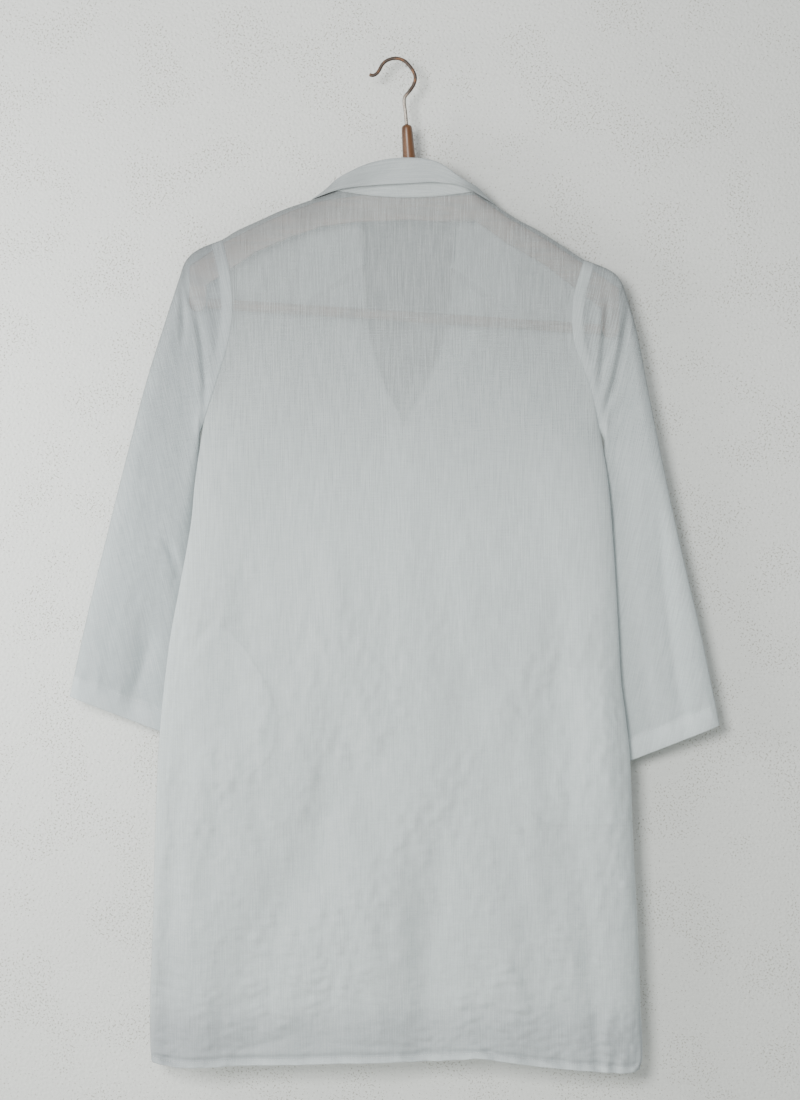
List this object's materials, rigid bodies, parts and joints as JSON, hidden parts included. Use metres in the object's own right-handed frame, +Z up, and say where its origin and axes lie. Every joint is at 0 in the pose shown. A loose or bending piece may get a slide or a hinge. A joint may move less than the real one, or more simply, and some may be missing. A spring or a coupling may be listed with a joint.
{
  "type": "tunic top on a hanger",
  "caption": "Linen tunic top with a small folded collar, open V neck and three-quarter sleeves, hung on a wooden hanger with a wire hook.",
  "frame": {"origin": "underside of the hook's arc at its highest point, in the plane of the wire, where a nail, peg or rail carries the hanger", "axes": "+Z up, -Y towards the side that shows the tunic's back, +Y towards the tunic's front, +X to the viewer's right when looking at the back"},
  "size_m": [0.6507, 0.0525, 1.0135],
  "materials": {
    "linen": "sheer plain-weave linen, matt",
    "linen_double": "linen in two or more layers, matt, whiter",
    "hanger_wood": "brown varnished beech, satin, worn",
    "hook_iron": "old dark iron wire, worn bright in places"
  },
  "bodies": {
    "root": {"back": "linen", "front": "linen", "sleeve_left": "linen", "sleeve_right": "linen", "collar_stand": "linen_double", "collar_leaf": "linen_double", "facing_left": "linen_double", "facing_right": "linen_double", "placket": "linen_double", "pocket_left": "linen_double", "pocket_right": "linen_double", "hanger_arms": "hanger_wood", "hanger_bar": "hanger_wood", "hanger_neck": "hanger_wood", "hanger_hook": "hook_iron"}
  },
  "joints": []
}
